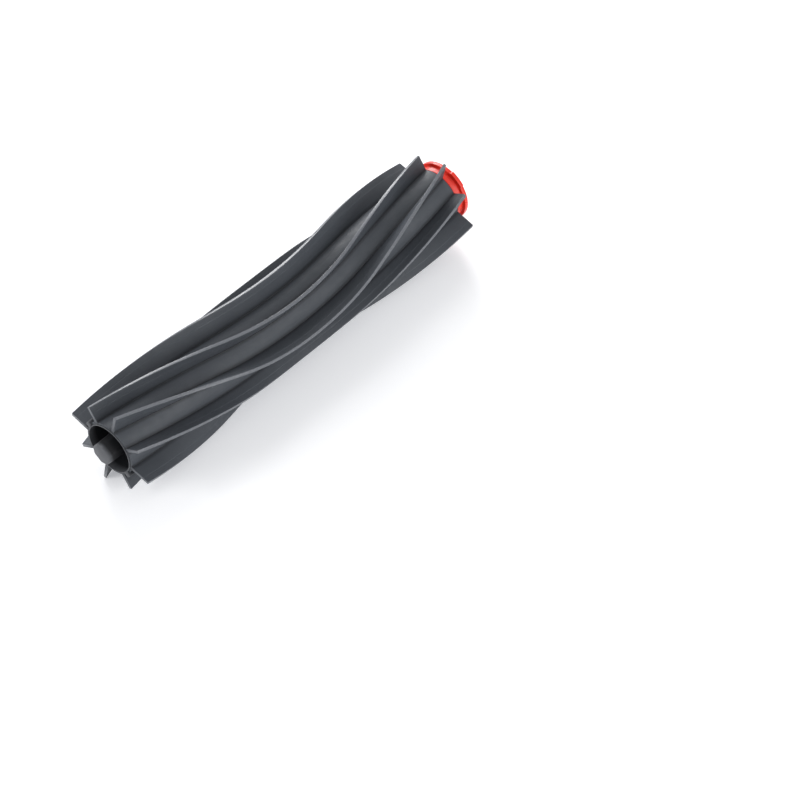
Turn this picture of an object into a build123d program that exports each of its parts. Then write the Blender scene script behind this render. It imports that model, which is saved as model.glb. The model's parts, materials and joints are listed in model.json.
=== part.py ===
"""Roller brush of a robot vacuum cleaner, lying on its side.

The axis of the brush is +X, from the drive end to the idle end, and +Z is up. The origin is on
the axis, in the plane where the rubber blades end beside the drive post. All sizes are in mm.

The roller is a rubber sleeve with chevron blades on a stiff core tube, and a plug with a square
post drives it. At the other end a pull-off cap carries a ball bearing, and the bearing's inner
ring, its axle and the round idle block stand still in the machine while the rest turns.
"""
import math
import os

from build123d import *

# Rubber sleeve and its blades
blade_length = 176.0
hub_radius = 11.2
sleeve_wall = 0.7
tall_radius = 19.5
short_radius = 17.6
blade_pairs = 4
chevron_turn = 64.3
bend_share = 0.4
blade_foot = 2.6
blade_root = 1.6
foot_height = 0.6
blade_shoulder = 1.4
blade_tip = 1.2
lip_height = 2.6

# Core tube
core_wall = 1.8
core_proud = 0.4
mouth_wall = 0.5
mouth_depth = 12.0
lug_width = 2.4
lug_height = 1.9
lug_length = 3.0
lug_proud = 0.5

# Drive plug and its square post
post_tip = 8.4
post_draft = 1.0
post_corner = 1.9
post_bevel = 0.7
post_proud = 4.1
plug_floor = 4.0
plug_length = 12.0
plug_wall = 1.6

# Pull-off end cap
cap_gap = 0.1
cap_rim_radius = 12.5
cap_neck = 2.7
cap_bevel = 0.25
cap_width = 4.4
dish_radius = 9.4
dish_depth = 3.2
ear_radius = 13.0
ear_angle = 34.0
spigot_length = 14.0
spigot_wall = 1.5
boss_wall = 1.5
boss_lip = 1.0
cap_ribs = 6
rib_width = 1.0
key_width = 2.0
key_height = 0.8
key_length = 6.0

# Ball bearing, 3 x 8 x 4
bearing_bore = 3.0
bearing_outside = 8.0
bearing_width = 4.0
ball_diameter = 1.588
ball_circle = 5.5
ball_count = 7
inner_land = 4.4
outer_land = 6.6
shield_thickness = 0.2
shield_inset = 0.2
cage_wall = 0.8
cage_back = 0.4
cage_pocket = 0.4

# Idle axle and what sits on it
washer_thickness = 0.4
washer_radius = 2.1
clip_thickness = 0.4
clip_radius = 2.5
clip_groove = 0.45
clip_angle = 90.0
axle_tail = 0.9
felt_thickness = 1.0
felt_bore = 2.7
block_radius = 5.5
block_length = 6.4
block_nose = 2.15
block_flat_angle = 38.0
block_bevel = 0.5
block_floor = 1.6

# Clearances
slide_gap = 0.05
seat_gap = 0.02
race_gap = 0.05
face_gap = 0.02
turn_gap = 0.4
overcut = 1.0

# Places that several pieces share
tall_spacing = 360.0 / blade_pairs
first_blade = (tall_spacing - chevron_turn) / 2
key_angle = first_blade + tall_spacing / 4
core_radius = hub_radius - sleeve_wall
core_bore = core_radius - core_wall
mouth_radius = core_radius - mouth_wall
cap_start = blade_length + cap_gap
cap_end = cap_start + cap_width
dish_floor = cap_end - dish_depth
bearing_end = dish_floor - felt_thickness - face_gap
bearing_start = bearing_end - bearing_width
bearing_middle = bearing_end - bearing_width / 2
spigot_radius = core_bore - slide_gap
block_start = dish_floor + turn_gap
block_end = block_start + block_length

os.makedirs("parts", exist_ok=True)


def save(shape, node):
    """Write one piece as its own file."""
    shape.label = node
    export_step(shape, f"parts/{node}.step")


def turned(points):
    """A solid turned about the axis from (x, radius) points of its half section."""
    return revolve(make_face(Polyline(*points, close=True)), Axis.X)


def tube(start, end, outer, inner):
    """A plain tube on the axis."""
    return turned([(start, inner), (end, inner), (end, outer), (start, outer)])


def about_axis(shape, angle):
    """Turn a piece about the axis. At angle 0 it points along +Y."""
    return Rot(X=angle) * shape


def bar(start, end, inner, outer, width):
    """A block that runs along the axis and reaches out along +Y."""
    middle = Pos((start + end) / 2, (inner + outer) / 2, 0)
    return middle * Box(end - start, outer - inner, width)


def crosswise(x):
    """The plane across the axis at x. Its first direction is +Y and its second is +Z."""
    return Plane(origin=(x, 0, 0), x_dir=(0, 1, 0), z_dir=(1, 0, 0))


# Chevron blades: two straight legs of even twist, joined by a round bend at mid length
leg_turn = chevron_turn / (1 - bend_share / 2)


def chevron_angle(x):
    """How far the blades are turned at x, counted from their ends."""
    off_middle = abs(2 * x / blade_length - 1)
    if off_middle < bend_share:
        return chevron_turn - leg_turn * off_middle**2 / (2 * bend_share)
    return leg_turn * (1 - off_middle)


def blade_section(tip_radius):
    """Half section of a blade, as (radius, half width) points from its root to its tip."""
    return [
        (hub_radius - sleeve_wall / 2, blade_foot / 2),
        (hub_radius + foot_height, blade_root / 2),
        (tip_radius - lip_height, blade_shoulder / 2),
        (tip_radius, blade_tip / 2),
    ]


def blade(start_angle, tip_radius, stations=17):
    """One blade, lofted through its section at even stations along the sleeve."""
    half = blade_section(tip_radius)
    outline = half + [(radius, -width) for radius, width in reversed(half)]
    sections = []
    for station in range(stations):
        x = blade_length * station / (stations - 1)
        section = crosswise(x) * make_face(Polyline(*outline, close=True))
        sections.append(about_axis(section, start_angle + chevron_angle(x)))
    return loft(sections)


def blade_sleeve():
    """The moulded rubber sleeve: tall and short blades by turns, on a thin tube."""
    blades = []
    for pair in range(blade_pairs):
        angle = first_blade + pair * tall_spacing
        blades.append(blade(angle, tall_radius))
        blades.append(blade(angle + tall_spacing / 2, short_radius))
    sleeve = tube(0, blade_length, hub_radius, core_radius + seat_gap).fuse(*blades)
    notch = bar(-overcut, lug_length + face_gap, mouth_radius, tall_radius,
                lug_width + 2 * slide_gap)
    return sleeve - about_axis(notch, key_angle) - about_axis(notch, key_angle + 180)


def core_tube():
    """The stiff tube under the sleeve, with a wide mouth, two lugs and two keyways."""
    core = turned([
        (-core_proud, mouth_radius),
        (mouth_depth, mouth_radius),
        (mouth_depth, core_bore),
        (blade_length, core_bore),
        (blade_length, core_radius),
        (-core_proud, core_radius),
    ])
    lug = bar(-core_proud - lug_proud, lug_length, mouth_radius + mouth_wall / 2,
              core_radius + lug_height, lug_width)
    lug = chamfer(lug.faces().sort_by(Axis.Y)[-1].edges(), lug_proud)
    keyway = bar(blade_length - key_length - slide_gap, blade_length + overcut,
                 core_bore - overcut, core_bore + key_height, key_width + 2 * slide_gap)
    for side in (0, 180):
        core += about_axis(lug, key_angle + side)
        core -= about_axis(keyway, key_angle + side)
    return core


def drive_plug():
    """The cup pressed in below the mouth, and the square post on it that takes the drive."""
    radius = core_bore - seat_gap
    back = mouth_depth + plug_length
    floor = mouth_depth + plug_floor
    plug = turned([
        (mouth_depth, 0),
        (mouth_depth, radius),
        (back, radius),
        (back, radius - plug_wall),
        (floor, radius - plug_wall),
        (floor, 0),
    ])
    post_length = mouth_depth + post_proud
    square = Rectangle(post_tip, post_tip)
    tip = crosswise(-post_proud) * chamfer(square.vertices(), post_corner)
    post = extrude(tip, post_length, taper=-post_draft)
    post = chamfer(post.faces().sort_by(Axis.X)[0].edges(), post_bevel)
    return plug + about_axis(post, key_angle)


# Pull-off cap at the idle end
def end_cap():
    """The red cap: neck, rim with two finger ears, dish, bearing seat, ribs and spigot."""
    spigot_start = cap_start - spigot_length
    spigot_inside = spigot_radius - spigot_wall
    boss_start = bearing_start - boss_lip
    boss_bore = bearing_outside / 2 + seat_gap
    boss_radius = boss_bore + boss_wall
    web_start = bearing_middle
    rim_start = cap_start + cap_neck
    cap = turned([
        (spigot_start, spigot_inside),
        (spigot_start, spigot_radius),
        (cap_start, spigot_radius),
        (cap_start, hub_radius),
        (rim_start, hub_radius),
        (rim_start, cap_rim_radius),
        (cap_end - cap_bevel, cap_rim_radius),
        (cap_end, cap_rim_radius - cap_bevel),
        (cap_end, dish_radius),
        (dish_floor, dish_radius),
        (dish_floor, boss_bore),
        (bearing_start, boss_bore),
        (bearing_start, boss_bore - boss_lip),
        (boss_start, boss_bore - boss_lip),
        (boss_start, boss_radius),
        (web_start, boss_radius),
        (web_start, spigot_inside),
    ])
    ear_root = (dish_radius + cap_rim_radius) / 2
    ear = turned([
        (rim_start, ear_root),
        (rim_start, ear_radius),
        (cap_end - cap_bevel, ear_radius),
        (cap_end, ear_radius - cap_bevel),
        (cap_end, ear_root),
    ])
    reach = 2 * ear_radius
    slope = math.tan(math.radians(ear_angle / 2)) * reach
    wedge = crosswise(rim_start) * make_face(
        Polyline((0, 0), (reach, slope), (reach, -slope), close=True))
    ear &= extrude(wedge, cap_width)
    mid_wall = spigot_inside + spigot_wall / 2
    rib = bar(boss_start, web_start + rib_width, boss_radius - boss_wall / 2, mid_wall, rib_width)
    key = bar(cap_start - key_length, cap_start + cap_neck / 2, mid_wall,
              core_bore + key_height - slide_gap, key_width)
    for side in (90, 270):
        cap += about_axis(ear, key_angle + side)
    for side in (0, 180):
        cap += about_axis(key, key_angle + side)
    for index in range(cap_ribs):
        cap += about_axis(rib, key_angle + 360 * index / cap_ribs)
    return cap


# Ball bearing
ball_radius = ball_diameter / 2
race_radius = ball_radius + race_gap
race_flanks = 6
circle_radius = ball_circle / 2


def race():
    """The groove that the balls run in, as a full ring with six flanks."""
    section = RegularPolygon(race_radius, race_flanks, major_radius=False)
    return revolve(Pos(bearing_middle, circle_radius) * section, Axis.X)


def bearing_outer_ring():
    """The outer ring, which turns with the cap and holds the shields."""
    ring = tube(bearing_start, bearing_end, bearing_outside / 2, outer_land / 2)
    return ring - race()


def bearing_inner_ring():
    """The inner ring, which stands still with the axle."""
    ring = tube(bearing_start, bearing_end, inner_land / 2, bearing_bore / 2)
    return ring - race()


def bearing_shield(start):
    """A pressed washer that closes one face of the bearing."""
    return tube(start, start + shield_thickness, outer_land / 2 - seat_gap,
                inner_land / 2 + 2 * race_gap)


def bearing_ball(index):
    """One ball in its place on the ball circle, with 26 even sides to save facets."""
    reach = ball_radius * (1 + math.sqrt(2)) / math.sqrt(5 + 2 * math.sqrt(2))
    cube = Box(2 * reach, 2 * reach, 2 * reach)
    ball = chamfer(cube.edges(), reach * (2 - math.sqrt(2)))
    return about_axis(Pos(bearing_middle, circle_radius, 0) * ball, 360 * index / ball_count)


def bearing_cage():
    """The crown cage: a ring whose pockets open on one side."""
    back = bearing_middle - ball_radius - cage_back
    front = bearing_middle + cage_pocket
    cage = tube(back, front, circle_radius + cage_wall / 2, circle_radius - cage_wall / 2)
    pocket = bar(bearing_middle - race_radius, bearing_middle + race_radius,
                 circle_radius - cage_wall, circle_radius + cage_wall, 2 * race_radius)
    for index in range(ball_count):
        cage -= about_axis(pocket, 360 * index / ball_count)
    return cage


# Idle axle, its fasteners and the block that the machine holds
axle_radius = bearing_bore / 2 - seat_gap
washer_end = bearing_start - face_gap
washer_start = washer_end - washer_thickness
clip_end = washer_start - face_gap
clip_start = clip_end - clip_thickness
groove_radius = axle_radius - clip_groove


def idle_axle():
    """The steel pin through the bearing, grooved for its clip and blind in the block."""
    start = clip_start - face_gap - axle_tail
    end = block_end - block_floor
    return turned([
        (start, 0),
        (start, axle_radius),
        (clip_start - face_gap, axle_radius),
        (clip_start - face_gap, groove_radius),
        (clip_end + face_gap, groove_radius),
        (clip_end + face_gap, axle_radius),
        (end, axle_radius),
        (end, 0),
    ])


def thrust_washer():
    """The washer between the clip and the bearing's inner ring."""
    return tube(washer_start, washer_end, washer_radius, bearing_bore / 2 + seat_gap)


def retaining_clip():
    """The snap-on clip in the axle's groove, open on one side, with three teeth."""
    clip = tube(clip_start, clip_end, clip_radius, groove_radius + seat_gap)
    mouth = bar(clip_start - overcut, clip_end + overcut, 0, 2 * clip_radius, 2 * groove_radius)
    relief = Pos((clip_start + clip_end) / 2, axle_radius, 0) * Rot(Y=90) * Cylinder(
        clip_groove, 4 * clip_thickness)
    clip = clip - mouth - about_axis(relief, 120) - about_axis(relief, 240)
    return about_axis(clip, clip_angle)


def dust_felt():
    """The felt ring that keeps hair out of the bearing."""
    start = bearing_end + face_gap
    return tube(start, start + felt_thickness, bearing_outside / 2 - seat_gap, felt_bore)


def idle_block():
    """The round block with a flat that sits in the machine and holds the axle still."""
    bore = axle_radius + seat_gap
    floor = block_end - block_floor + face_gap
    block = turned([
        (bearing_end + face_gap, bore),
        (bearing_end + face_gap, block_nose),
        (block_start, block_nose),
        (block_start, block_radius),
        (block_end - block_bevel, block_radius),
        (block_end, block_radius - block_bevel),
        (block_end, 0),
        (floor, 0),
        (floor, bore),
    ])
    flat = block_radius * math.cos(math.radians(block_flat_angle))
    return block - bar(block_start, block_end, flat, 2 * block_radius, 4 * block_radius)


save(blade_sleeve(), "blade_sleeve")
save(core_tube(), "core_tube")
save(drive_plug(), "drive_plug")
save(end_cap(), "end_cap")
save(bearing_outer_ring(), "bearing_outer_ring")
save(bearing_inner_ring(), "bearing_inner_ring")
save(bearing_shield(bearing_start + shield_inset), "inner_shield")
save(bearing_shield(bearing_end - shield_inset - shield_thickness), "outer_shield")
save(bearing_cage(), "bearing_cage")
for number in range(ball_count):
    save(bearing_ball(number), f"bearing_ball_{number + 1}")
save(idle_axle(), "idle_axle")
save(thrust_washer(), "thrust_washer")
save(retaining_clip(), "retaining_clip")
save(dust_felt(), "dust_felt")
save(about_axis(idle_block(), 90), "idle_block")
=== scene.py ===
import json
import math
import random

import bmesh
import bpy
from mathutils import Matrix, Vector


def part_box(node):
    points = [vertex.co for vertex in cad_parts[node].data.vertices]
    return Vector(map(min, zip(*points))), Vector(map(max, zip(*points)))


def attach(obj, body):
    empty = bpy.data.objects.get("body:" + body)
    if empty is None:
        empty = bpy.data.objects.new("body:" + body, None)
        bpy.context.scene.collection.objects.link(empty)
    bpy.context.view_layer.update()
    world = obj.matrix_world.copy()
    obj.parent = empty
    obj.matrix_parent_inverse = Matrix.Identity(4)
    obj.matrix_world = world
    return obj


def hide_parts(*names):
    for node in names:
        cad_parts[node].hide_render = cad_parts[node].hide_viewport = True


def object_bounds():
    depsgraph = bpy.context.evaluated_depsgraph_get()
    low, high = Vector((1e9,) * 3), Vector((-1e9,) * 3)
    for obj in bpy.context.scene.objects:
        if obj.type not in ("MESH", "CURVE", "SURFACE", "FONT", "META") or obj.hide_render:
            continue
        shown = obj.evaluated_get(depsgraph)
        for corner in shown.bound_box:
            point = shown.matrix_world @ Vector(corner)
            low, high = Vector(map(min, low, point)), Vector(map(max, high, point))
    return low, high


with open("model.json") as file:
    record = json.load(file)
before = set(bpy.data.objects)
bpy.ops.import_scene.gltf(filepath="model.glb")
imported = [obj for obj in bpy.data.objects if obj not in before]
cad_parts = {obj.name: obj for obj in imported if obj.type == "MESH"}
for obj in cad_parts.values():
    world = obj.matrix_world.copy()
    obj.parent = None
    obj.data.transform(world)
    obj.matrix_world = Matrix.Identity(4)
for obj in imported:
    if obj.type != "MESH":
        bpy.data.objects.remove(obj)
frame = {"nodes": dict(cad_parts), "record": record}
cad_low, cad_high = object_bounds()

# Sizes are in millimetres and degrees. Materials, camera and lamps use metres where they say so
MM = 0.001


def span(node):
    """Where a CAD node starts and ends along the axis."""
    low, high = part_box(node)
    return low.x / MM, high.x / MM


def girth(node):
    """The outer radius of a round CAD node."""
    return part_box(node)[1].y / MM


# Sleeve and blades, as in the part's source. Each blade turns by CHEVRON_TURN up to the middle and
# back, and the middle BEND_SHARE of its length is a round bend
BLADE_LENGTH = span("blade_sleeve")[1]
HUB_RADIUS = 11.2
CORE_RADIUS = 10.5
SEAT_GAP = 0.02
FACE_GAP = 0.02
TALL_RADIUS = 19.5
SHORT_RADIUS = 17.6
BLADE_COUNT = 8
BLADE_SPACING = 360 / BLADE_COUNT
CHEVRON_TURN = 64.3
BEND_SHARE = 0.4
LEG_TURN = CHEVRON_TURN / (1 - BEND_SHARE / 2)
FIRST_BLADE = (2 * BLADE_SPACING - CHEVRON_TURN) / 2

# Lugs, keys, keyways and the post stand at this angle, halfway between two blades
KEY_ANGLE = FIRST_BLADE + BLADE_SPACING / 2
BOTH_SIDES = (0, 180)

# A cutting or joining block reaches this far past the face that it works on, and a slot is wider
# than what sits in it by SLOT_GAP
PAST = 1.0
SLOT_GAP = 0.1

# Core, plug and post
CORE_BORE = 8.7
MOUTH_RADIUS = 10.0
MOUTH_DEPTH = 12.0
LUG_WIDTH = 2.4
LUG_REACH = 12.4
LUG_LENGTH = 3.0
LUG_PROUD = 0.5
LUG_SINK = 0.25
KEY_WIDTH = 2.0
KEY_HEIGHT = 0.8
KEY_LENGTH = 6.0
PLUG_FLOOR = 4.0
PLUG_WALL = 1.6
POST_TIP = 8.4
POST_CORNER = 1.9
POST_DRAFT = 1.0
POST_BEVEL = 0.7
POST_BEVEL_BULGE = 0.12
POST_ROUND = 0.35

# Cap
CAP_GAP = 0.1
CAP_NECK = 2.7
CAP_ROUND = 0.25
SPIGOT_GAP = 0.05
SPIGOT_WALL = 1.5
RIM_RADIUS = girth("end_cap")
EAR_RADIUS = 13.0
EAR_ANGLE = 34.0
EAR_SINK = 0.1
EAR_STEEPNESS = 8
DISH_RADIUS = 9.4
DISH_DEPTH = 3.2
BOSS_WALL = 1.5
BOSS_LIP = 1.0
RIB_COUNT = 6
RIB_WIDTH = 1.0

# Bearing and what is on its axle
BEARING_START, BEARING_END = span("bearing_outer_ring")
BEARING_MIDDLE = (BEARING_START + BEARING_END) / 2
BALL_RADIUS = 0.794
BALL_COUNT = 7
BALL_CIRCLE = 2.75
RACE_GAP = 0.05
RACE_RADIUS = BALL_RADIUS + RACE_GAP
RACE_STEPS = 12
OUTER_LAND = 3.3
SEAT_RADIUS = girth("bearing_outer_ring")
INNER_LAND = girth("bearing_inner_ring")
AXLE_RADIUS = girth("idle_axle")
CLIP_GROOVE = 0.45
WASHER_GAP = 0.04
FELT_BORE = 2.7
SHIELD_GAP = 0.1
SHIELD_STEP = 0.1
SHIELD_RIM = 0.3
SHIELD_SLOPE_END = 0.4

# How many flats a round piece has all round, and a small one
SEGMENTS = 144
FEW_SEGMENTS = 96

# The photograph's camera: its turn about +Z and its height over the floor, its distance in metres,
# its lens and sensor in millimetres, and a small aim to the side
VIEW_AZIMUTH = -44.807
VIEW_ELEVATION = 45.873
VIEW_DISTANCE = 1.130
VIEW_LENS = 136.69
VIEW_SENSOR = 36
AIM_YAW = -3.268
AIM_PITCH = 1.616

# How brightly the world lights the object, and how brightly the floor glows, as shares of plain
# white. The glow is there only for the rays that show a background, and they see a white world
AMBIENT = 0.29
FLOOR_GLOW = 0.33
FLOOR_GLOW_COLOUR = (0.93, 0.95, 1, 1)
# The floor is a square that reaches this many metres each way
FLOOR_REACH = 3.0


def linear(red, green, blue):
    """A colour given as 0 to 255 screen values, in linear light."""
    def one(value):
        value /= 255
        return value / 12.92 if value <= 0.04045 else ((value + 0.055) / 1.055) ** 2.4
    return (one(red), one(green), one(blue), 1.0)


# Materials
def seen_rays(tree):
    """1 for the rays that show a background: camera, glossy and transmission rays."""
    rays = tree.nodes.new("ShaderNodeLightPath").outputs
    seen = rays["Is Camera Ray"]
    for name in ("Is Glossy Ray", "Is Transmission Ray"):
        either = tree.nodes.new("ShaderNodeMath")
        either.operation = "MAXIMUM"
        tree.links.new(seen, either.inputs[0])
        tree.links.new(rays[name], either.inputs[1])
        seen = either.outputs["Value"]
    return seen


class Shader:
    """A material with a Principled shader, and short calls that add nodes to it."""

    def __init__(self, name, **values):
        self.material = bpy.data.materials.new(name)
        self.material.use_nodes = True
        self.tree = self.material.node_tree
        self.surface = self.tree.nodes["Principled BSDF"]
        self.place = self.add("ShaderNodeTexCoord").outputs["Object"]
        for key, value in values.items():
            self.surface.inputs[key.replace("_", " ")].default_value = value

    def add(self, kind, **settings):
        node = self.tree.nodes.new(kind)
        for key, value in settings.items():
            setattr(node, key, value)
        return node

    def link(self, source, target):
        self.tree.links.new(source, target)

    def fill(self, target, value):
        """Give a socket a plain value or the output of a node."""
        if isinstance(value, bpy.types.NodeSocket):
            self.link(value, target)
        else:
            target.default_value = value

    def noise(self, scale, detail=3.0, roughness=0.5, stretch=(1, 1, 1)):
        """Noise by place on the object, with scale in cycles per metre."""
        mapping = self.add("ShaderNodeMapping")
        mapping.inputs["Scale"].default_value = stretch
        self.link(self.place, mapping.inputs["Vector"])
        node = self.add("ShaderNodeTexNoise")
        node.inputs["Scale"].default_value = scale
        node.inputs["Detail"].default_value = detail
        node.inputs["Roughness"].default_value = roughness
        self.link(mapping.outputs["Vector"], node.inputs["Vector"])
        return node.outputs["Fac"]

    def specks(self, scale, radius):
        """Small round dots scattered by place: 1 inside a dot and 0 outside."""
        node = self.add("ShaderNodeTexVoronoi")
        node.inputs["Scale"].default_value = scale
        self.link(self.place, node.inputs["Vector"])
        return self.ramp(node.outputs["Distance"], (radius * 0.6, 1.0), (radius, 0.0))

    def ramp(self, source, low, high):
        """Remap a value: low and high are (input, output) pairs."""
        node = self.add("ShaderNodeMapRange")
        node.inputs["From Min"].default_value, node.inputs["To Min"].default_value = low
        node.inputs["From Max"].default_value, node.inputs["To Max"].default_value = high
        self.link(source, node.inputs["Value"])
        return node.outputs["Result"]

    def math(self, operation, first, second):
        node = self.add("ShaderNodeMath", operation=operation)
        self.fill(node.inputs[0], first)
        self.fill(node.inputs[1], second)
        return node.outputs["Value"]

    def blend(self, factor, first, second):
        """A colour between two."""
        node = self.add("ShaderNodeMix", data_type="RGBA")
        self.link(factor, node.inputs["Factor"])
        low, high = [socket for socket in node.inputs if socket.type == "RGBA"]
        self.fill(low, first)
        self.fill(high, second)
        return next(socket for socket in node.outputs if socket.type == "RGBA")

    def attribute(self, name):
        return self.add("ShaderNodeAttribute", attribute_name=name).outputs["Fac"]

    def along_axis(self):
        """Where a point is along the roller's axis, in metres."""
        node = self.add("ShaderNodeSeparateXYZ")
        self.link(self.place, node.inputs["Vector"])
        return node.outputs["X"]

    def colour(self, source):
        self.link(source, self.surface.inputs["Base Color"])

    def roughness(self, source):
        self.link(source, self.surface.inputs["Roughness"])

    def bump(self, *layers):
        """Stack bumps, each a (height, depth in metres, strength)."""
        normal = None
        for height, depth, strength in layers:
            node = self.add("ShaderNodeBump")
            node.inputs["Distance"].default_value = depth
            node.inputs["Strength"].default_value = strength
            self.link(height, node.inputs["Height"])
            if normal:
                self.link(normal, node.inputs["Normal"])
            normal = node.outputs["Normal"]
        self.link(normal, self.surface.inputs["Normal"])


def rubber():
    """Matt dark grey moulded rubber: faint mottling, painted shade at the blades' roots, smooth pale
    tips that are scuffed wear and also a painted highlight, dust specks.
    """
    shader = Shader("blade_rubber", IOR=1.5, Specular_IOR_Level=0.3)
    mottling = shader.noise(scale=90, detail=4)
    tone = shader.blend(mottling, linear(68, 72, 78), linear(79, 83, 89))
    # Painted shade: the crease at each blade's root, where the blade meets the hub, is darkened
    tone = shader.blend(shader.attribute("root"), tone, linear(34, 36, 40))
    # The pale streaked tips are scuffed wear and also a painted highlight along each blade's tip
    tip = shader.attribute("tip")
    streaks = shader.noise(scale=700, detail=4, roughness=0.6, stretch=(0.15, 1, 1))
    scuff_and_highlight = shader.ramp(streaks, low=(0.35, 0.8), high=(0.7, 1.0))
    tone = shader.blend(shader.math("MULTIPLY", tip, scuff_and_highlight), tone, linear(112, 115, 121))
    patches = shader.ramp(shader.noise(scale=60, detail=2), low=(0.55, 0), high=(0.62, 0.7))
    dust = shader.math("MULTIPLY", shader.specks(scale=330, radius=0.05), patches)
    shader.colour(shader.blend(dust, tone, linear(150, 152, 156)))
    matt = shader.ramp(shader.noise(scale=400, detail=3), low=(0.3, 0.48), high=(0.7, 0.6))
    tip_shine = shader.math("MULTIPLY", tip, 0.28)
    shader.roughness(shader.math("SUBTRACT", matt, tip_shine))
    grain = shader.noise(scale=5000, detail=2)
    waviness = shader.noise(scale=240, detail=3)
    shader.bump((grain, 0.00003, 0.3), (waviness, 0.00015, 0.2))
    return shader.material


def moulded(name, dark, pale, rough, grain=2600, depth=0.00003, shine=0.5, painted_shade=None):
    """Moulded plastic with a fine grain, whose depth is in metres.

    The shade argument gives where along the axis a painted shade starts and where it is full: it
    darkens the plastic deep in the mouth and on the post, where shade falls.
    """
    shader = Shader(name, IOR=1.46, Specular_IOR_Level=shine)
    tone = shader.blend(shader.noise(scale=120, detail=3), linear(*dark), linear(*pale))
    # Painted shade: the colour gets darker further along the axis into the mouth
    if painted_shade:
        start, end = painted_shade
        share = shader.ramp(shader.along_axis(), low=(start * MM, 0.0), high=(end * MM, 0.9))
        tone = shader.blend(share, tone, linear(14, 15, 18))
    shader.colour(tone)
    patches = shader.noise(scale=500, detail=3)
    shader.roughness(shader.ramp(patches, low=(0.3, rough - 0.06), high=(0.7, rough + 0.06)))
    shader.bump((shader.noise(scale=grain, detail=2), depth, 0.3))
    return shader.material


def turned_steel(name, tone, rough, rings=9000):
    """Steel with fine rings round the axis of the roller."""
    shader = Shader(name, Metallic=1.0)
    marks = shader.noise(scale=rings, detail=2, roughness=0.6, stretch=(1, 0.02, 0.02))
    dull = [value * 0.88 for value in tone]
    clouds = shader.noise(scale=300, detail=3)
    shader.colour(shader.blend(clouds, linear(*tone), linear(*dull)))
    shader.roughness(shader.ramp(marks, low=(0.3, rough - 0.07), high=(0.7, rough + 0.07)))
    shader.bump((marks, 0.00001, 0.3))
    return shader.material


def felt():
    """Pressed felt: a fuzz of short fibres."""
    shader = Shader("dust_felt", Sheen_Weight=0.4, Sheen_Roughness=0.5, Roughness=0.95)
    fibre = shader.noise(scale=3800, detail=5, roughness=0.7)
    shader.colour(shader.blend(fibre, linear(120, 116, 108), linear(188, 183, 172)))
    shader.bump((fibre, 0.00012, 0.8))
    return shader.material


def paper():
    """White paper: a little light of its own makes it plain white where no shadow falls."""
    shader = Shader("paper", Roughness=0.9, Emission_Color=FLOOR_GLOW_COLOUR)
    clouds = shader.noise(scale=3, detail=2)
    shader.colour(shader.blend(clouds, (0.96, 0.96, 0.965, 1), (0.98, 0.98, 0.985, 1)))
    glow = shader.math("MULTIPLY", seen_rays(shader.tree), FLOOR_GLOW)
    shader.link(glow, shader.surface.inputs["Emission Strength"])
    return shader.material


# Mesh helpers
# Points closer than this many metres become one
MERGE_DISTANCE = 1e-7


def placed(name, data):
    """A new object in the scene that shows a mesh, lamp or camera."""
    made = bpy.data.objects.new(name, data)
    bpy.context.scene.collection.objects.link(made)
    return made


def new_object(name, mesh, material):
    made = placed(name, mesh)
    made.data.materials.clear()
    made.data.materials.append(material)
    return made


def finished(work, name):
    """The mesh that a bmesh holds. The bmesh is used up."""
    mesh = bpy.data.meshes.new(name)
    work.to_mesh(mesh)
    work.free()
    return mesh


def outward(mesh):
    """Merge doubled points and turn every face outwards."""
    work = bmesh.new()
    work.from_mesh(mesh)
    bmesh.ops.remove_doubles(work, verts=work.verts, dist=MERGE_DISTANCE)
    bmesh.ops.recalc_face_normals(work, faces=work.faces)
    work.to_mesh(mesh)
    work.free()
    return mesh


def skin(rings, closed=True):
    """A solid over rings of points: a closed loop of rings, or a row with flat ends."""
    mesh = bpy.data.meshes.new("skin")
    count = len(rings[0])
    points = [point * MM for ring in rings for point in ring]
    faces = []
    for row in range(len(rings) if closed else len(rings) - 1):
        first, second = row * count, (row + 1) % len(rings) * count
        for k in range(count):
            after = (k + 1) % count
            faces.append((first + k, first + after, second + after, second + k))
    if not closed:
        faces += [range(count), range(len(points) - count, len(points))]
    mesh.from_pydata(points, [], faces)
    return outward(mesh)


def curve(start, control, end, steps):
    """Points of a quadratic curve, with both ends."""
    return [
        start * (1 - t) ** 2 + control * 2 * t * (1 - t) + end * t * t
        for t in (step / steps for step in range(steps + 1))
    ]


def rounded(outline, radius, steps=3):
    """Round the corners of a closed outline. A corner on the axis or marked 0 stays sharp."""
    corners = [Vector(corner[:2]) for corner in outline]
    result = []
    for index, corner in enumerate(outline):
        here = corners[index]
        if corner[1] == 0 or corner[2:] == (0,):
            result.append(here)
            continue
        before = corners[index - 1] - here
        after = corners[(index + 1) % len(corners)] - here
        reach = min(radius, before.length * 0.45, after.length * 0.45)
        result += curve(here + before.normalized() * reach, here,
                        here + after.normalized() * reach, steps)
    return result


def about_axis(x, radius, angle):
    """A point at a radius and an angle about the axis."""
    turn = math.radians(angle)
    return Vector((x, radius * math.cos(turn), radius * math.sin(turn)))


def lathe(outline, radius=0.15, segments=SEGMENTS):
    """A solid of revolution about the axis from a closed (x, radius) outline."""
    edge = rounded(outline, radius)
    return skin([
        [about_axis(point.x, point.y, 360 * segment / segments) for point in edge]
        for segment in range(segments)
    ])


def ring(start, end, outer, inner, radius=0.08, segments=FEW_SEGMENTS):
    """A plain ring with soft edges."""
    return lathe([(start, inner), (end, inner), (end, outer), (start, outer)], radius, segments)


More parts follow.
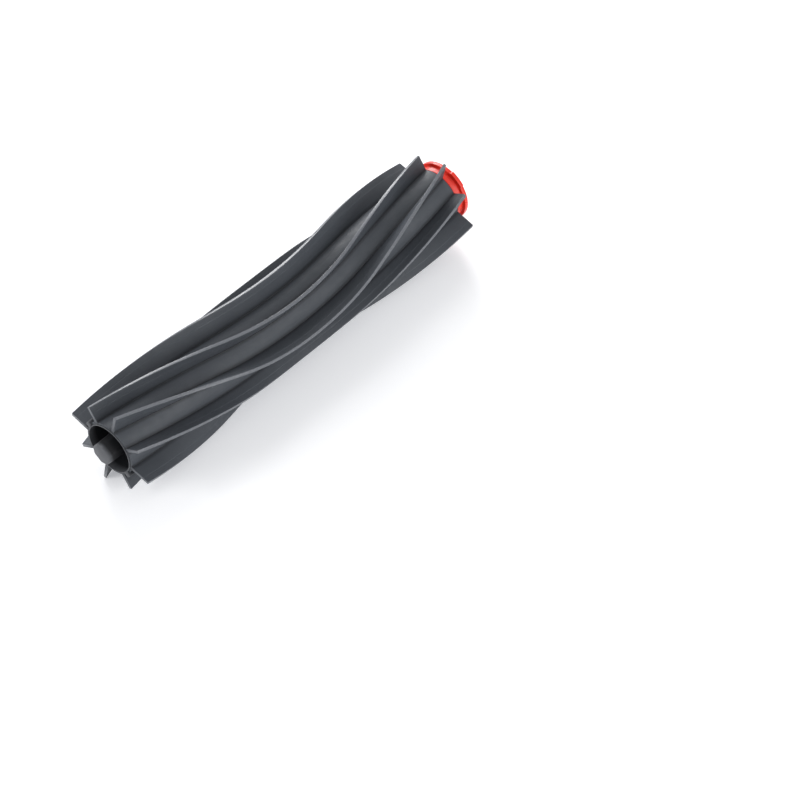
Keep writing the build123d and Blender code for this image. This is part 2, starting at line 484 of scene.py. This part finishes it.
def bar(start, end, inner, outer, width, angle, bevel=0.0):
    """A block along the axis that reaches out at an angle."""
    work = bmesh.new()
    bmesh.ops.create_cube(work, size=1)
    size = Matrix.Diagonal((end - start, outer - inner, width, 1))
    bmesh.ops.transform(work, matrix=size, verts=work.verts)
    if bevel:
        bmesh.ops.bevel(work, geom=work.edges[:], offset=bevel, segments=3, profile=0.5,
                        affect="EDGES")
    place = Matrix.Translation(((start + end) / 2, (inner + outer) / 2, 0))
    turn = Matrix.Rotation(math.radians(angle), 4, "X")
    bmesh.ops.transform(work, matrix=Matrix.Scale(MM, 4) @ turn @ place, verts=work.verts)
    return finished(work, "bar")


def modified(mesh, change):
    """A mesh after one modifier, which change adds to an object that holds it."""
    holder = placed("holder", mesh)
    change(holder)
    graph = bpy.context.evaluated_depsgraph_get()
    result = bpy.data.meshes.new_from_object(holder.evaluated_get(graph))
    bpy.data.objects.remove(holder)
    return result


def combined(mesh, others, operation="UNION"):
    """One mesh joined with others, or cut by them."""
    for other in others:
        tool = placed("tool", other)

        def add_boolean(holder):
            boolean = holder.modifiers.new("combine", "BOOLEAN")
            boolean.operation = operation
            boolean.object = tool
            boolean.solver = "EXACT"

        mesh = modified(mesh, add_boolean)
        bpy.data.objects.remove(tool)
    return mesh


def softened(mesh, width):
    """A mesh with its sharp edges rounded."""
    def add_bevel(holder):
        bevel = holder.modifiers.new("soften", "BEVEL")
        bevel.width = width * MM
        bevel.segments = 2
        bevel.limit_method = "ANGLE"
        bevel.angle_limit = math.radians(40)

    return modified(mesh, add_bevel)


def cad_copy(node, width):
    """A copy of a CAD node with flat faces merged and its edges rounded."""
    made = frame["nodes"][node]
    work = bmesh.new()
    work.from_mesh(made.data)
    bmesh.ops.transform(work, matrix=made.matrix_world, verts=work.verts)
    bmesh.ops.remove_doubles(work, verts=work.verts, dist=MERGE_DISTANCE)
    bmesh.ops.dissolve_limit(work, angle_limit=math.radians(0.5), verts=work.verts, edges=work.edges)
    return softened(finished(work, node), width)


# Every CAD node gets its material, and finished pieces then stand for the nodes
materials = {
    "blade_rubber": rubber(),
    # The core and the plug get painted shade deep in the mouth and on the post's flank
    "core_plastic": moulded("core_plastic", (78, 80, 84), (90, 92, 96), rough=0.5, shine=0.2,
                            painted_shade=(0.3, 3.0)),
    "plug_plastic": moulded("plug_plastic", (66, 68, 72), (104, 106, 110), rough=0.5, grain=1500,
                            depth=0.0001, shine=0.2, painted_shade=(-3.8, -2.5)),
    "cap_plastic": moulded("cap_plastic", (228, 42, 24), (238, 52, 32), rough=0.32),
    "bearing_steel": turned_steel("bearing_steel", (205, 207, 210), rough=0.2),
    "shield_steel": turned_steel("shield_steel", (178, 180, 182), rough=0.34),
    "axle_steel": turned_steel("axle_steel", (192, 194, 196), rough=0.28),
    "clip_steel": turned_steel("clip_steel", (92, 92, 98), rough=0.4),
    "felt": felt(),
    "block_plastic": moulded("block_plastic", (26, 27, 29), (36, 37, 39), rough=0.42),
}
slot_of = {row["node"]: row["material_slot"] for row in frame["record"]["subparts"]}
body_of = {}
for body, nodes in frame["record"]["behaviour"]["bodies"].items():
    for node in nodes:
        body_of[node] = body
for node, made in frame["nodes"].items():
    for place in made.material_slots:
        place.material = materials[slot_of[node]]


def piece(name, mesh, node, sharp=32):
    """A finished piece that stands for a CAD node, smooth but for edges over an angle."""
    made = new_object(name, mesh, materials[slot_of[node]])
    for face in made.data.polygons:
        face.use_smooth = True
    made.data.set_sharp_from_angle(angle=math.radians(sharp))
    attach(made, body_of[node])
    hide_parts(node)
    return made


# Rubber sleeve: the half outline of a blade, then the whole outline, then the skin.
# Half widths of a blade from the hub to its tip
FOOT = 0.95
ROOT = 0.8
SHOULDER = 0.72
LIP = 0.66
TIP = 0.6
# Height of the foot's fillet over the hub, height of the lip at the tip, and the tip's rounding
FOOT_HEIGHT = 0.2
LIP_HEIGHT = 2.6
TIP_ROUND = 0.14
# Extra points at this distance from an edge keep its shading crisp
CREASE = 0.1
# How far the tip's pale mark of wear and painted highlight reaches, and the root's painted shade
TIP_MARK = 0.2
ROOT_SHADE_REACH = 1.3
VALLEY_STEPS = 6
FILLET_STEPS = 4
FLANK_STEPS = 4
TIP_STEPS = 3


def blade_half(tip_radius):
    """Half outline of a blade from the valley to the tip, as (out, aside) points."""
    half_gap = math.radians(BLADE_SPACING / 2)
    foot_angle = math.asin(FOOT / HUB_RADIUS)
    valley = [
        HUB_RADIUS * Vector((math.cos(angle), math.sin(angle)))
        for angle in (half_gap + (foot_angle - half_gap) * step / VALLEY_STEPS
                      for step in range(VALLEY_STEPS))
    ]
    foot = HUB_RADIUS * Vector((math.cos(foot_angle), math.sin(foot_angle)))
    root = Vector((HUB_RADIUS + FOOT_HEIGHT, ROOT))
    fillet = curve(foot, Vector((HUB_RADIUS, ROOT)), root, FILLET_STEPS)
    shoulder = Vector((tip_radius - LIP_HEIGHT, SHOULDER))
    along = (shoulder - root).normalized() * CREASE
    low, high = root + along, shoulder - along
    flank = [low.lerp(high, step / FLANK_STEPS) for step in range(FLANK_STEPS + 1)] + [shoulder]
    lip = [
        Vector((tip_radius - LIP_HEIGHT + CREASE, LIP)),
        Vector((tip_radius - LIP_HEIGHT + 2 * CREASE, LIP)),
        Vector((tip_radius - TIP_ROUND - CREASE, TIP)),
    ]
    tip = curve(Vector((tip_radius - TIP_ROUND, TIP)), Vector((tip_radius, TIP)),
                Vector((tip_radius, TIP - TIP_ROUND)), TIP_STEPS)
    return valley + fillet + flank + lip + tip


def sleeve_outline():
    """The whole outline, going round once, as (angle, radius, height share, blade) rows."""
    rows = []
    for blade in range(BLADE_COUNT):
        tip_radius = SHORT_RADIUS if blade % 2 else TALL_RADIUS
        half = blade_half(tip_radius)
        points = [(point.x, -point.y) for point in half]
        points += [(point.x, point.y) for point in half[:0:-1]]
        for out, aside in points:
            angle = FIRST_BLADE + BLADE_SPACING * blade + math.degrees(math.atan2(aside, out))
            radius = math.hypot(out, aside)
            height = max(0.0, (radius - HUB_RADIUS) / (tip_radius - HUB_RADIUS))
            rows.append((angle, radius, height, blade))
    return rows


def chevron_angle(x):
    """How far the blades are turned at x, counted from their ends."""
    off_middle = abs(2 * x / BLADE_LENGTH - 1)
    if off_middle < BEND_SHARE:
        return CHEVRON_TURN - LEG_TURN * off_middle**2 / (2 * BEND_SHARE)
    return LEG_TURN * (1 - off_middle)


def sleeve_mesh(stations=190, seed=7, sway=0.3, hub_share=0.4):
    """The sleeve skinned along the axis, with soft ends and slightly uneven blades.

    Sway is the size of the unevenness in degrees. A soft end draws in by its inset times hub_share
    on the hub, and by one inset more at a blade's tip.
    """
    rows = sleeve_outline()
    # Three waves for each blade, as (turns along it, phase, size)
    dice = random.Random(seed)
    waves = [
        [(dice.uniform(0.6, 2.6), dice.uniform(0, 2 * math.pi), dice.uniform(0.3, 1.0))
         for _ in range(3)]
        for _ in range(BLADE_COUNT)
    ]

    def wave(blade, x):
        share = 2 * math.pi * x / BLADE_LENGTH
        return sum(size * math.sin(turns * share + phase) for turns, phase, size in waves[blade])

    def section(x, inset):
        return [
            about_axis(x, radius - inset * (hub_share + height),
                       angle + chevron_angle(x) + sway * height**2 * wave(blade, x))
            for angle, radius, height, blade in rows
        ]

    def bore(x):
        return [about_axis(x, CORE_RADIUS + SEAT_GAP, row[0] + chevron_angle(x)) for row in rows]

    # Distances from an end, with the inset there
    soft_end = [(0.0, 0.12), (0.06, 0.035), (0.18, 0.0)]
    rings = [section(x, inset) for x, inset in soft_end]
    rings += [section(BLADE_LENGTH * step / stations, 0) for step in range(1, stations)]
    rings += [section(BLADE_LENGTH - x, inset) for x, inset in soft_end[::-1]]
    rings += [bore(BLADE_LENGTH), bore(0)]
    return skin(rings)


def mark_blades(made):
    """Store on every point whether it is on a blade's tip, and how near to a blade's root, for the
    painted shade there.
    """
    tips, root_shades = [], []
    for point in made.data.vertices:
        place = Vector(point.co) / MM
        radius = math.hypot(place.y, place.z)
        turn = math.degrees(math.atan2(place.z, place.y)) - chevron_angle(place.x) - FIRST_BLADE
        blade = round(turn / BLADE_SPACING)
        aside = radius * abs(math.sin(math.radians(turn - blade * BLADE_SPACING)))
        tip_radius = SHORT_RADIUS if blade % 2 else TALL_RADIUS
        tips.append(1.0 if radius > tip_radius - TIP_MARK else 0.0)
        root_shades.append(max(0.0, 1 - math.hypot(radius - HUB_RADIUS, aside - ROOT) / ROOT_SHADE_REACH))
    for name, values in (("tip", tips), ("root", root_shades)):
        mark = made.data.attributes.new(name, "FLOAT", "POINT")
        mark.data.foreach_set("value", values)


notches = [
    bar(-PAST, LUG_LENGTH + FACE_GAP, MOUTH_RADIUS, HUB_RADIUS + 2 * PAST, LUG_WIDTH + SLOT_GAP,
        KEY_ANGLE + side)
    for side in BOTH_SIDES
]
sleeve = piece("ribbed_sleeve", combined(sleeve_mesh(), notches, "DIFFERENCE"), "blade_sleeve")
mark_blades(sleeve)

# Core tube with its lugs and keyways
core_start = span("core_tube")[0]
core = lathe([
    (core_start + LUG_PROUD, MOUTH_RADIUS),
    (MOUTH_DEPTH, MOUTH_RADIUS),
    (MOUTH_DEPTH, CORE_BORE),
    (BLADE_LENGTH, CORE_BORE),
    (BLADE_LENGTH, CORE_RADIUS),
    (core_start + LUG_PROUD, CORE_RADIUS),
], radius=0.12)
lugs = [
    bar(core_start, LUG_LENGTH, MOUTH_RADIUS + LUG_SINK, LUG_REACH, LUG_WIDTH, KEY_ANGLE + side,
        bevel=0.5)
    for side in BOTH_SIDES
]
keyways = [
    bar(BLADE_LENGTH - KEY_LENGTH, BLADE_LENGTH + PAST, CORE_BORE - PAST, CORE_BORE + KEY_HEIGHT,
        KEY_WIDTH + SLOT_GAP, KEY_ANGLE + side)
    for side in BOTH_SIDES
]
piece("mouth_tube", combined(combined(core, lugs), keyways, "DIFFERENCE"), "core_tube")

# Drive plug: a cup, and the square post with cut corners
plug_end = span("drive_plug")[1]
cup = lathe([
    (MOUTH_DEPTH, 0),
    (MOUTH_DEPTH, CORE_BORE - SEAT_GAP),
    (plug_end, CORE_BORE - SEAT_GAP),
    (plug_end, CORE_BORE - PLUG_WALL),
    (MOUTH_DEPTH + PLUG_FLOOR, CORE_BORE - PLUG_WALL),
    (MOUTH_DEPTH + PLUG_FLOOR, 0),
])


def post_section(x, inset):
    """The post's outline at x: a square with cut corners and soft edges."""
    half = POST_TIP / 2 + (x - post_start) * math.tan(math.radians(POST_DRAFT)) - inset
    cut = half - POST_CORNER
    corners = []
    for turn in range(4):
        spin = Matrix.Rotation(math.radians(90 * turn), 2)
        corners += [tuple(spin @ Vector((half, -cut))), tuple(spin @ Vector((half, cut)))]
    turn = math.radians(KEY_ANGLE)
    return [
        Vector((x, y * math.cos(turn) - z * math.sin(turn), y * math.sin(turn) + z * math.cos(turn)))
        for y, z in rounded(corners, POST_ROUND)
    ]


post_start = span("drive_plug")[0]
post_edge = curve(Vector((0, POST_BEVEL)), Vector((POST_BEVEL_BULGE, POST_BEVEL_BULGE)),
                  Vector((POST_BEVEL, 0)), steps=4)
post = skin([post_section(post_start + x, inset) for x, inset in post_edge]
            + [post_section(MOUTH_DEPTH + PAST, 0)], closed=False)
piece("square_post", combined(cup, [post]), "drive_plug")

# Cap: turned body, ears, keys and ribs
cap_low, cap_end = span("end_cap")
cap_start = BLADE_LENGTH + CAP_GAP
rim_start = cap_start + CAP_NECK
dish_floor = cap_end - DISH_DEPTH
spigot_radius = CORE_BORE - SPIGOT_GAP
spigot_inside = spigot_radius - SPIGOT_WALL
boss_bore = SEAT_RADIUS + SEAT_GAP
boss_radius = boss_bore + BOSS_WALL
boss_start = BEARING_START - BOSS_LIP
cap_body = lathe([
    (cap_low, spigot_inside),
    (cap_low, spigot_radius),
    (cap_start, spigot_radius),
    (cap_start, HUB_RADIUS),
    (rim_start, HUB_RADIUS),
    (rim_start, RIM_RADIUS),
    (cap_end, RIM_RADIUS),
    (cap_end, DISH_RADIUS),
    (dish_floor, DISH_RADIUS),
    (dish_floor, boss_bore),
    (BEARING_START, boss_bore),
    (BEARING_START, boss_bore - BOSS_LIP),
    (boss_start, boss_bore - BOSS_LIP),
    (boss_start, boss_radius),
    (BEARING_MIDDLE, boss_radius),
    (BEARING_MIDDLE, spigot_inside),
], radius=CAP_ROUND)


def ear(middle, steps=24):
    """A finger ear: a low arc on the rim whose ends run down into it."""
    sections = []
    for step in range(steps + 1):
        share = 2 * step / steps - 1
        rise = min(1.0, (1 - abs(share)) * EAR_STEEPNESS)
        outer = RIM_RADIUS - EAR_SINK + (EAR_RADIUS - RIM_RADIUS + EAR_SINK) * rise
        inner = (DISH_RADIUS + RIM_RADIUS) / 2
        corners = [(rim_start, inner), (rim_start, outer), (cap_end, outer), (cap_end, inner)]
        sections.append([
            about_axis(x, radius, middle + share * EAR_ANGLE / 2)
            for x, radius in rounded(corners, CAP_ROUND)
        ])
    return skin(sections, closed=False)


mid_wall = spigot_inside + SPIGOT_WALL / 2
keys = [
    bar(cap_start - KEY_LENGTH, cap_start + CAP_NECK / 2, mid_wall,
        CORE_BORE + KEY_HEIGHT - SPIGOT_GAP, KEY_WIDTH, KEY_ANGLE + side, bevel=0.2)
    for side in BOTH_SIDES
]
ribs = [
    bar(boss_start, BEARING_MIDDLE + RIB_WIDTH, boss_radius - BOSS_WALL / 2, mid_wall, RIB_WIDTH,
        KEY_ANGLE + 360 * index / RIB_COUNT, bevel=0.12)
    for index in range(RIB_COUNT)
]
# The ears stand a quarter turn from the keys
ears = [ear(KEY_ANGLE + 90 + side) for side in BOTH_SIDES]
piece("red_cap", combined(cap_body, ears + keys + ribs), "end_cap")


# Bearing: rings with round races, pressed shields, cage and balls
def ball_groove(land):
    """Points of the groove that the balls run in, where it cuts the land of a ring."""
    side = math.sqrt(RACE_RADIUS**2 - (land - BALL_CIRCLE) ** 2)
    start = math.degrees(math.atan2(land - BALL_CIRCLE, side))
    outward_ring = land > BALL_CIRCLE
    reach = 180 - 2 * start if outward_ring else -180 - 2 * start
    points = []
    for step in range(RACE_STEPS + 1):
        angle = math.radians(start + reach * step / RACE_STEPS)
        points.append((BEARING_MIDDLE + RACE_RADIUS * math.cos(angle),
                       BALL_CIRCLE + RACE_RADIUS * math.sin(angle), 0))
    return points


piece("outer_race", lathe([
    (BEARING_END, OUTER_LAND),
    *ball_groove(OUTER_LAND),
    (BEARING_START, OUTER_LAND),
    (BEARING_START, SEAT_RADIUS),
    (BEARING_END, SEAT_RADIUS),
]), "bearing_outer_ring")
piece("inner_race", lathe([
    (BEARING_END, INNER_LAND),
    *ball_groove(INNER_LAND),
    (BEARING_START, INNER_LAND),
    (BEARING_START, AXLE_RADIUS + SEAT_GAP),
    (BEARING_END, AXLE_RADIUS + SEAT_GAP),
]), "bearing_inner_ring")


def shield(node, inwards):
    """A pressed washer with a shallow step towards the balls."""
    start, end = span(node)
    outer = girth(node)
    inner = INNER_LAND + SHIELD_GAP
    step = SHIELD_STEP * inwards
    return lathe([
        (start, outer),
        (start, outer - SHIELD_RIM),
        (start + step, outer - SHIELD_SLOPE_END),
        (start + step, inner),
        (end + step, inner),
        (end + step, outer - SHIELD_SLOPE_END),
        (end, outer - SHIELD_RIM),
        (end, outer),
    ], radius=0.05, segments=FEW_SEGMENTS)


piece("pressed_shield_in", shield("inner_shield", 1), "inner_shield")
piece("pressed_shield_out", shield("outer_shield", -1), "outer_shield")
piece("crown_cage", cad_copy("bearing_cage", width=0.05), "bearing_cage")
for number in range(BALL_COUNT):
    ball = bmesh.new()
    bmesh.ops.create_icosphere(ball, subdivisions=4, radius=BALL_RADIUS * MM)
    centre = about_axis(BEARING_MIDDLE, BALL_CIRCLE, 360 * number / BALL_COUNT) * MM
    bmesh.ops.translate(ball, vec=centre, verts=ball.verts)
    piece(f"round_ball_{number + 1}", finished(ball, "ball"), f"bearing_ball_{number + 1}", sharp=60)

# Axle, washer, clip, felt and block
axle_start, axle_end = span("idle_axle")
clip_start, clip_end = span("retaining_clip")
groove_start, groove_end = clip_start - FACE_GAP, clip_end + FACE_GAP
groove_radius = AXLE_RADIUS - CLIP_GROOVE
piece("turned_axle", lathe([
    (axle_start, 0),
    (axle_start, AXLE_RADIUS),
    (groove_start, AXLE_RADIUS),
    (groove_start, groove_radius, 0),
    (groove_end, groove_radius, 0),
    (groove_end, AXLE_RADIUS),
    (axle_end, AXLE_RADIUS),
    (axle_end, 0),
], radius=0.1, segments=FEW_SEGMENTS), "idle_axle")
washer = ring(*span("thrust_washer"), girth("thrust_washer"), AXLE_RADIUS + WASHER_GAP)
piece("steel_washer", washer, "thrust_washer")
piece("spring_clip", cad_copy("retaining_clip", width=0.04), "retaining_clip")
felt_ring = ring(*span("dust_felt"), girth("dust_felt"), FELT_BORE, radius=0.2)
piece("felt_ring", felt_ring, "dust_felt")
piece("cradle_block", cad_copy("idle_block", width=0.12), "idle_block")

# Floor
floor_mesh = bpy.data.meshes.new("floor")
floor_corners = [
    (side_x * FLOOR_REACH, side_y * FLOOR_REACH, cad_low.z)
    for side_x, side_y in ((-1, -1), (1, -1), (1, 1), (-1, 1))
]
floor_mesh.from_pydata(floor_corners, [], [(0, 1, 2, 3)])
new_object("floor", floor_mesh, paper())


# Camera
def view_frame(azimuth, elevation):
    """The camera's right, up and backward directions for an azimuth and elevation."""
    turn, height = math.radians(azimuth), math.radians(elevation)
    back = Vector((math.sin(turn) * math.cos(height), -math.cos(turn) * math.cos(height),
                   math.sin(height)))
    right = Vector((math.cos(turn), math.sin(turn), 0))
    return right, back.cross(right), back


# The camera and the lamps are placed from the middle of the blades
target = Vector((BLADE_LENGTH / 2, 0, 0)) * MM
camera = placed("camera", bpy.data.cameras.new("camera"))
camera.data.lens = VIEW_LENS
camera.data.sensor_width = VIEW_SENSOR
right, up, back = view_frame(VIEW_AZIMUTH + AIM_YAW, VIEW_ELEVATION + AIM_PITCH)
stand = Matrix((right, up, back)).transposed().to_4x4()
stand.translation = target + view_frame(VIEW_AZIMUTH, VIEW_ELEVATION)[2] * VIEW_DISTANCE
camera.matrix_world = stand
bpy.context.scene.camera = camera


# Light
def lamp(name, place, size, watts):
    """A square soft lamp that faces the roller. Its place from there and its size are in metres."""
    data = bpy.data.lights.new(name, "AREA")
    data.shape = "SQUARE"
    data.size = size
    data.energy = watts
    made = placed(name, data)
    made.location = target + Vector(place)
    made.rotation_mode = "QUATERNION"
    made.rotation_quaternion = Vector(place).to_track_quat("Z", "Y")


lamp("ceiling", (0.3, -0.6, 1.1), size=1.0, watts=1.6)
lamp("skylight", (0.6, 0.55, 0.9), size=0.4, watts=2.5)
lamp("window", (0.55, 0.85, 0.5), size=0.5, watts=8.0)
lamp("left_window", (-0.9, 0.5, 0.35), size=0.5, watts=6.0)
lamp("front", (0.2, -1.0, 0.42), size=0.7, watts=6.3)

world = bpy.data.worlds.new("studio")
bpy.context.scene.world = world
world.use_nodes = True
sky = world.node_tree
level = sky.nodes.new("ShaderNodeMapRange")
level.inputs["To Min"].default_value = AMBIENT
level.inputs["To Max"].default_value = 1.0
sky.links.new(seen_rays(sky), level.inputs["Value"])
sky.links.new(level.outputs["Result"], sky.nodes["Background"].inputs["Strength"])
sky.nodes["Background"].inputs["Color"].default_value = (1, 1, 1, 1)
bpy.context.scene.view_settings.view_transform = "Standard"
